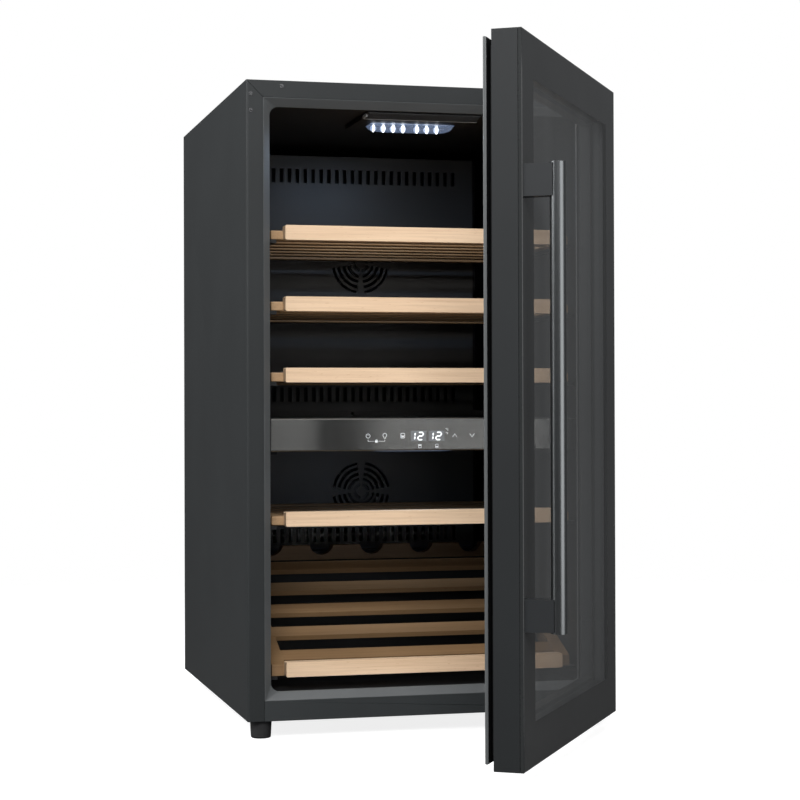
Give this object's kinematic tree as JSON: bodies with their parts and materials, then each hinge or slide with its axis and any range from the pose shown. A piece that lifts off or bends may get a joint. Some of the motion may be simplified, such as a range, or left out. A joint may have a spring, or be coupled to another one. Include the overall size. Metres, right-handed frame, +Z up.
{
  "type": "wine cooler",
  "caption": "Free-standing two-zone wine cooler with a right-hinged glass door standing open, a bar handle, sliding beech shelves, a sloping display shelf and LED lamps.",
  "frame": {"origin": "on the floor, under the middle of the cabinet's 485 x 560 mm footprint, the door not counted", "axes": "+X to the right seen from the front, +Y to the rear, -Y out of the door opening, +Z up"},
  "size_m": [0.4882, 1.013, 0.845],
  "materials": {
    "cabinet_paint": "matte",
    "galvanised_sheet": "satin",
    "machine_paint": "satin",
    "foam": "matte",
    "liner_plastic": "satin",
    "trim_plastic": "satin",
    "panel_gloss": "gloss",
    "circuit_board": "satin",
    "lamp_plastic": "satin",
    "lamp_board_white": "gloss",
    "lamp_lens": "gloss",
    "sensor_white": "gloss",
    "beech": "satin",
    "aluminium_fins": "satin",
    "copper_pipe": "satin",
    "rubber": "matte",
    "zinc_steel": "satin",
    "black_screw": "satin",
    "smoked_glass": "gloss",
    "inner_glass": "gloss",
    "door_plastic": "satin",
    "magnet_strip": "matte",
    "bush_plastic": "satin",
    "handle_steel": "satin",
    "standoff_paint": "satin"
  },
  "bodies": {
    "cabinet": {"side_panel_left": "cabinet_paint", "side_panel_right": "cabinet_paint", "top_panel": "cabinet_paint", "back_panel": "galvanised_sheet", "bottom_rail": "cabinet_paint", "base_pan": "galvanised_sheet", "machine_bulkhead": "galvanised_sheet", "rear_cover": "machine_paint", "insulation": "foam", "inner_liner": "liner_plastic", "liner_trim": "trim_plastic", "divider": "liner_plastic", "control_panel": "panel_gloss", "control_board": "circuit_board", "lamp_housing": "lamp_plastic", "lamp_boards": "lamp_board_white", "lamp_lenses": "lamp_lens", "evaporator_cover_upper": "liner_plastic", "evaporator_cover_lower": "liner_plastic", "evaporators": "aluminium_fins", "fan_frames": "machine_paint", "temperature_sensors": "sensor_white", "compressor": "machine_paint", "compressor_mounts": "rubber", "starter_box": "door_plastic", "condenser": "machine_paint", "filter_dryer": "copper_pipe", "refrigerant_pipes": "copper_pipe", "drip_tray": "liner_plastic", "mains_inlet": "door_plastic", "rear_feet": "rubber", "hinge_bracket_upper": "cabinet_paint", "hinge_bracket_lower": "cabinet_paint", "hinge_pins": "zinc_steel", "flange_screws": "black_screw", "display_shelf_front": "beech", "display_shelf_frame": "beech"},
    "door": {"door_glass_outer": "smoked_glass", "door_glass_inner": "inner_glass", "door_spacer": "door_plastic", "door_frame": "door_plastic", "door_gasket": "rubber", "gasket_magnets": "magnet_strip", "hinge_bushes": "bush_plastic", "handle_bar": "handle_steel", "handle_standoffs": "standoff_paint", "handle_screws": "zinc_steel"},
    "shelf_1": {"shelf_1_front": "beech", "shelf_1_frame": "beech"},
    "shelf_2": {"shelf_2_front": "beech", "shelf_2_frame": "beech"},
    "shelf_3": {"shelf_3_front": "beech", "shelf_3_frame": "beech"},
    "shelf_4": {"shelf_4_front": "beech", "shelf_4_frame": "beech"},
    "fan_rotor_upper": {"fan_rotor_upper": "door_plastic"},
    "fan_rotor_lower": {"fan_rotor_lower": "door_plastic"},
    "fan_rotor_condenser": {"fan_rotor_condenser": "door_plastic"},
    "foot_front_left": {"foot_front_left": "rubber"},
    "foot_front_right": {"foot_front_right": "rubber"}
  },
  "joints": [
    {"name": "door_hinge", "type": "hinge", "parent": "cabinet", "child": "door", "pos_m": [0.225, -0.313, 0.43], "axis": [0, 0, 1], "range_deg": [-57.5, 57.5]},
    {"name": "shelf_1_slide", "type": "slide", "parent": "cabinet", "child": "shelf_1", "axis": [0, -1, 0], "range_m": [0, 0.04]},
    {"name": "shelf_2_slide", "type": "slide", "parent": "cabinet", "child": "shelf_2", "axis": [0, -1, 0], "range_m": [0, 0.04]},
    {"name": "shelf_3_slide", "type": "slide", "parent": "cabinet", "child": "shelf_3", "axis": [0, -1, 0], "range_m": [0, 0.04]},
    {"name": "shelf_4_slide", "type": "slide", "parent": "cabinet", "child": "shelf_4", "axis": [0, -1, 0], "range_m": [0, 0.04]},
    {"name": "fan_upper_spin", "type": "hinge", "parent": "cabinet", "child": "fan_rotor_upper", "pos_m": [0, 0.13, 0.64], "axis": [0, 1, 0], "continuous": true},
    {"name": "fan_lower_spin", "type": "hinge", "parent": "cabinet", "child": "fan_rotor_lower", "pos_m": [0, 0.13, 0.3], "axis": [0, 1, 0], "continuous": true},
    {"name": "fan_condenser_spin", "type": "hinge", "parent": "cabinet", "child": "fan_rotor_condenser", "pos_m": [-0.04, 0.185, 0.1], "axis": [1, 0, 0], "continuous": true},
    {"name": "foot_left_turn", "type": "hinge", "parent": "cabinet", "child": "foot_front_left", "pos_m": [-0.222, -0.26, 0.02], "axis": [0, 0, 1], "continuous": true},
    {"name": "foot_right_turn", "type": "hinge", "parent": "cabinet", "child": "foot_front_right", "pos_m": [0.222, -0.26, 0.02], "axis": [0, 0, 1], "continuous": true}
  ]
}
